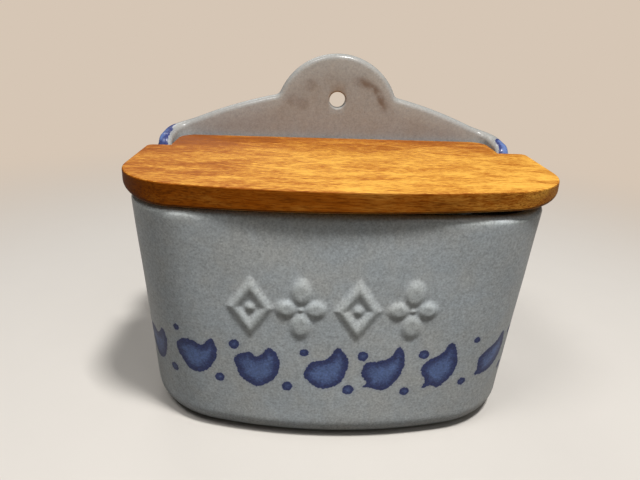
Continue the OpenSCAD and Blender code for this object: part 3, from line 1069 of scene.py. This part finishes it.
def board_outline(s):
    """The whole outline, once round from the middle of the front, with its outward normals and its wear."""
    shift = (LID_HI.x + LID_LO.x) / 2
    line = np.concatenate([board_side(s, shift), board_side(s, -shift)[-2:0:-1] * (-1, 1, 1)])
    step = np.roll(line[:, :2], -1, 0) - line[:, :2]
    step /= np.hypot(*step.T)[:, None]
    normal = np.stack([step[:, 1], -step[:, 0]], -1)
    before = np.roll(normal, 1, 0)
    mitre = (normal + before) / (1 + (normal * before).sum(1, keepdims=True))
    return line[:, :2], mitre, line[:, 2]


# Depth of each pin's bore in the end of the tongue
PIN_GRIP = 14 * MM
# Half the breadth of the run over which the left end's wear gives way to the right end's
WEAR_BLEND = 20 * MM


def build_lid(sizes):
    """The board: a sheet wrapped round its outline, its arrises rounded, the lower ones most at its ends."""
    s = sizes
    line, normal, wear = board_outline(s)
    right = smooth_step(line[:, 0], -WEAR_BLEND, WEAR_BLEND)
    worn = s.low_left + (s.low_right - s.low_left) * right
    low = s.low_edge + (worn - s.low_edge) * wear
    top = s.top_edge + 0 * low
    rows = []
    for a in np.linspace(0, math.pi / 2, 8):
        rows.append((low * (1 - math.sin(a)), low * (1 - math.cos(a)), 0))
    for a in np.linspace(0, math.pi / 2, 7):
        rows.append((top * (1 - math.cos(a)), 0, top * (1 - math.sin(a))))
    points = []
    for inset, above, below in rows:
        place = line - normal * inset[:, None]
        share = (place[:, 0] - LID_LO.x) / (LID_HI.x - LID_LO.x)
        upper = LID_HI.z - s.rise * (1 - share)
        under = LID_LO.z + (LID_HI.z - s.right_thick - LID_LO.z) * share
        z = under + above if np.ndim(below) == 0 else upper - below
        points.append(np.concatenate([place, z[:, None]], 1))
    points = np.array(points)
    lid = wrap(np.concatenate([points, points[:, :1]], 1))
    for side in (-1, 1):
        cut(lid, rod(s.pin, 2 * PIN_GRIP, (side * s.tongue, HINGE.y, HINGE.z)))
    soften(lid, 35)
    use(lid, "WEIGHTED_NORMAL", keep_sharp=True)
    return lid


# Height of a pin's head, and the share of it that is its straight rim
HEAD, HEAD_RIM = 1.1 * MM, 0.35


def build_pin(side, sizes):
    """A round-head pin along X: its shank from a cylinder, its head drawn out of the outer end."""
    inner, shank = PIN_LO.x, PIN_HI.x - HEAD - PIN_LO.x
    pin = rod(sizes.pin, shank, (side * (inner + shank / 2), HINGE.y, HINGE.z))
    bpy.ops.object.transform_apply(location=False, rotation=True, scale=False)
    pick(pin, "FACE", lambda face: face.normal.x * side > 0.9)
    draw_out((0, 0, 0), "YZ", sizes.pin_head, sizes.pin)
    draw_out((side * HEAD_RIM * HEAD, 0, 0), "")
    before = 1.0
    for cosine, growth in quarter_turn(HEAD_STEPS, HEAD_STEPS - 1):
        draw_out((side * (1 - HEAD_RIM) * HEAD * growth, 0, 0), "YZ", cosine, before)
        before = cosine
    bpy.ops.object.mode_set(mode="OBJECT")
    pick(pin, "FACE", lambda face: True)
    bpy.ops.mesh.normals_make_consistent(inside=False)
    bpy.ops.object.mode_set(mode="OBJECT")
    soften(pin, 40)
    return pin


class SALTBOX_OT_tub(bpy.types.Operator):
    """Models and glazes the stoneware tub with its hanging plate"""

    bl_idname = "saltbox.tub"
    bl_label = "Stoneware tub"

    def execute(self, context):
        scene = context.scene
        tub = build_tub(scene.saltbox_tub, scene.saltbox_frieze)
        glaze = glaze_finish(scene.saltbox_colours)
        complete(tub, "stoneware_tub", glaze, "tub", "glazed_stoneware", "stoneware_box")
        return {"FINISHED"}


class SALTBOX_OT_lid(bpy.types.Operator):
    """Models and varnishes the wooden lid"""

    bl_idname = "saltbox.lid"
    bl_label = "Wooden lid"

    def execute(self, context):
        scene = context.scene
        lid = build_lid(scene.saltbox_lid)
        complete(lid, "lid_board", wood_finish(scene.saltbox_colours), "lid", "varnished_wood", "wooden_lid")
        return {"FINISHED"}


class SALTBOX_OT_pins(bpy.types.Operator):
    """Models the two hinge pins"""

    bl_idname = "saltbox.pins"
    bl_label = "Hinge pins"

    def execute(self, context):
        scene = context.scene
        steel = steel_finish(scene.saltbox_colours)
        for side, name in ((-1, "left"), (1, "right")):
            pin = build_pin(side, scene.saltbox_lid)
            complete(pin, f"pin_{name}", steel, "lid", "pin_steel", f"hinge_pin_{name}")
        return {"FINISHED"}


# The camera, as found from the photographed outline: its place, its aim, and its lens in pixels of the frame
EYE = (-12.5 * MM, -237.4 * MM, 161.7 * MM)
AIM_DOWN, AIM_LEFT, ROLL = math.radians(20.953), math.radians(-1.605), math.radians(2.146)
FOCAL_PIXELS, FRAME_PIXELS, SENSOR = 582.3, 640, 36.0
CLIP_START, CLIP_END = 0.01, 50


def add_camera():
    """The camera that sees the box as the photo does."""
    data = bpy.data.cameras.new("photo_camera")
    camera = bpy.data.objects.new("photo_camera", data)
    bpy.context.scene.collection.objects.link(camera)
    data.sensor_width = SENSOR
    data.lens = FOCAL_PIXELS / FRAME_PIXELS * SENSOR
    data.clip_start, data.clip_end = CLIP_START, CLIP_END
    turn = Matrix.Rotation(AIM_LEFT, 4, "Z") @ Matrix.Rotation(math.pi / 2 - AIM_DOWN, 4, "X")
    camera.matrix_world = Matrix.Translation(EYE) @ turn @ Matrix.Rotation(ROLL, 4, "Z")
    bpy.context.scene.camera = camera


# Soft lamps: name, place, breadth and power in watts
LAMPS = (
    ("key", (0.2, -0.33, 1.09), 0.14, 11.2),
    ("side", (-0.35, -0.36, 1.05), 0.3, 3.4),
    ("fill", (0.4, -0.65, 0.95), 0.4, 1.0),
    ("back", (-0.3, 0.9, 0.9), 0.5, 2.0),
)
# The middle of the box, which the lamps face
LAMPS_AIM = (0, 0, 0.07)
# Strength of the even surround
AMBIENT = 0.06
FLOOR_RADIUS = 4.0


def add_softbox(name, place, breadth, watts):
    """A square lamp at place that faces the middle of the box."""
    data = bpy.data.lights.new(name, "AREA")
    data.shape = "SQUARE"
    data.size = breadth
    data.energy = watts
    lamp = bpy.data.objects.new(name, data)
    bpy.context.scene.collection.objects.link(lamp)
    lamp.location = place
    lamp.rotation_mode = "QUATERNION"
    lamp.rotation_quaternion = (Vector(place) - Vector(LAMPS_AIM)).to_track_quat("Z", "Y")


def add_studio_light(ambient, backdrop):
    """An even surround that lights the object, and shows as a plain backdrop to the eye."""
    world = bpy.data.worlds.new("studio")
    bpy.context.scene.world = world
    world.use_nodes = True
    nodes, links = world.node_tree.nodes, world.node_tree.links
    nodes.clear()
    path = nodes.new("ShaderNodeLightPath")
    blend = nodes.new("ShaderNodeMixShader")
    links.new(path.outputs["Is Camera Ray"], blend.inputs[0])
    for i, (tint, strength) in enumerate((((1, 1, 1), ambient), (backdrop, 1.0))):
        surround = nodes.new("ShaderNodeBackground")
        surround.inputs["Color"].default_value = opaque(tint)
        surround.inputs["Strength"].default_value = strength
        links.new(surround.outputs[0], blend.inputs[1 + i])
    output = nodes.new("ShaderNodeOutputWorld")
    links.new(blend.outputs[0], output.inputs["Surface"])


class SALTBOX_OT_stage(bpy.types.Operator):
    """Sets the camera, the soft light and the plain floor"""

    bl_idname = "saltbox.stage"
    bl_label = "Stage"

    def execute(self, context):
        colours = context.scene.saltbox_colours
        clear_selection()
        bpy.ops.mesh.primitive_circle_add(vertices=96, radius=FLOOR_RADIUS, fill_type="NGON")
        floor = bpy.context.object
        floor.name = "floor"
        floor.data.materials.append(floor_finish(colours))
        for lamp in LAMPS:
            add_softbox(*lamp)
        add_studio_light(AMBIENT, colours.backdrop)
        context.scene.view_settings.view_transform = "Standard"
        add_camera()
        return {"FINISHED"}


class SALTBOX_PT_panel(bpy.types.Panel):
    """Lists the pieces of the salt box"""

    bl_idname = "SALTBOX_PT_panel"
    bl_label = "Salt Box"
    bl_space_type = "VIEW_3D"
    bl_region_type = "UI"
    bl_category = "Salt Box"

    def draw(self, context):
        for step in STEPS:
            self.layout.operator(step.bl_idname)
        for group in GROUPS:
            box = self.layout.box()
            settings = getattr(context.scene, group)
            for name in settings.bl_rna.properties.keys():
                if name not in ("rna_type", "name"):
                    box.prop(settings, name)


STEPS = (SALTBOX_OT_tub, SALTBOX_OT_lid, SALTBOX_OT_pins, SALTBOX_OT_stage)
GROUPS = {
    "saltbox_tub": SaltBoxTub,
    "saltbox_frieze": SaltBoxFrieze,
    "saltbox_lid": SaltBoxLid,
    "saltbox_colours": SaltBoxColours,
}


def register():
    for group in GROUPS.values():
        bpy.utils.register_class(group)
    for name, group in GROUPS.items():
        setattr(bpy.types.Scene, name, PointerProperty(type=group))
    for operator in (*STEPS, SALTBOX_PT_panel):
        bpy.utils.register_class(operator)


def unregister():
    for operator in reversed((*STEPS, SALTBOX_PT_panel)):
        bpy.utils.unregister_class(operator)
    for name in reversed(GROUPS):
        delattr(bpy.types.Scene, name)
    for group in reversed(GROUPS.values()):
        bpy.utils.unregister_class(group)


def main():
    register()
    bpy.ops.saltbox.tub()
    bpy.ops.saltbox.lid()
    bpy.ops.saltbox.pins()
    bpy.ops.saltbox.stage()


if __name__ == "__main__":
    main()
